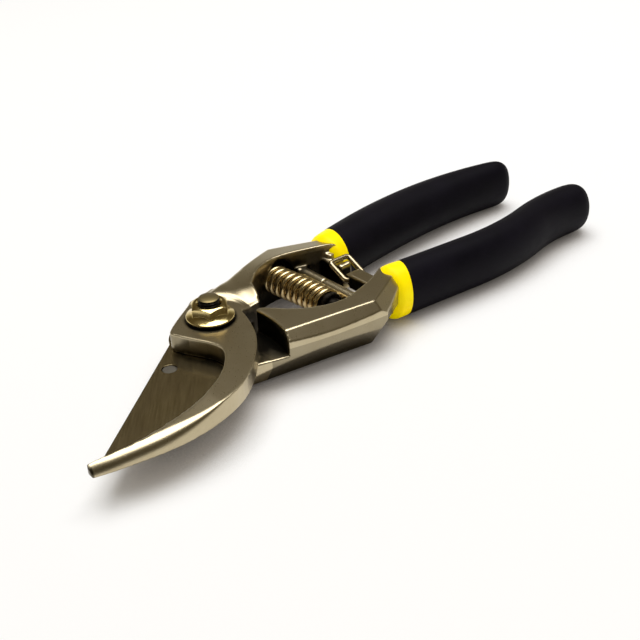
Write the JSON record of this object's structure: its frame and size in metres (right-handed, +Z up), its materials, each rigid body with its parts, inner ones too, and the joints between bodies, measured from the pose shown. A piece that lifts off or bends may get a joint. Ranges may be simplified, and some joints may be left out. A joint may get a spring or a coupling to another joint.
{
  "type": "bypass pruner",
  "caption": "Hand-held bypass pruner with a curved hook jaw, a ground blade, a return spring, dipped vinyl grips and a flip-over wire latch, stored closed and latched.",
  "frame": {"origin": "on the pivot axis at the underside of the bolt's head, which is where the tool rests on a table", "axes": "+X from the pivot towards the grips with the jaw towards -X, +Y towards the far handle, which carries the hook, +Z up from the table towards the nut"},
  "size_m": [0.2095, 0.0694, 0.0225],
  "materials": {
    "forged_steel": "satin forged and blasted steel with ground top faces",
    "blade_steel": "finely ground blade steel",
    "pin_steel": "satin",
    "bolt_steel": "dark oxide with worn edges",
    "washer_black": "matte black",
    "yellow_zinc": "yellow-passivated zinc plating",
    "spring_steel": "yellow-passivated spring wire, glossy",
    "peg_steel": "dark oxide",
    "yellow_vinyl": "glossy dipped vinyl",
    "black_vinyl": "satin dipped vinyl",
    "latch_wire": "bright drawn wire"
  },
  "bodies": {
    "blade_half": {"blade_handle": "forged_steel", "blade": "blade_steel", "blade_pin": "pin_steel", "pivot_bolt": "bolt_steel", "pivot_washer": "washer_black", "flange_nut": "yellow_zinc", "coil_spring": "spring_steel", "near_spring_peg": "peg_steel", "near_collar": "yellow_vinyl", "near_grip": "black_vinyl"},
    "hook_half": {"hook_handle": "forged_steel", "far_spring_peg": "peg_steel", "far_collar": "yellow_vinyl", "far_grip": "black_vinyl"},
    "bail": {"latch_bail": "latch_wire"}
  },
  "joints": [
    {"name": "pivot", "type": "hinge", "parent": "blade_half", "child": "hook_half", "pos_m": [0, 0, 0.0125], "axis": [0, 0, 1], "range_deg": [0, 28], "deforming": ["coil_spring"]},
    {"name": "bail_flip", "type": "hinge", "parent": "blade_half", "child": "bail", "pos_m": [0.0525, -0.0034, 0.0105], "axis": [1, 0, 0], "range_deg": [0, 110]}
  ],
  "couplings": [
    {"joint": "bail_flip", "follows": "pivot", "ratio": 3.92}
  ]
}
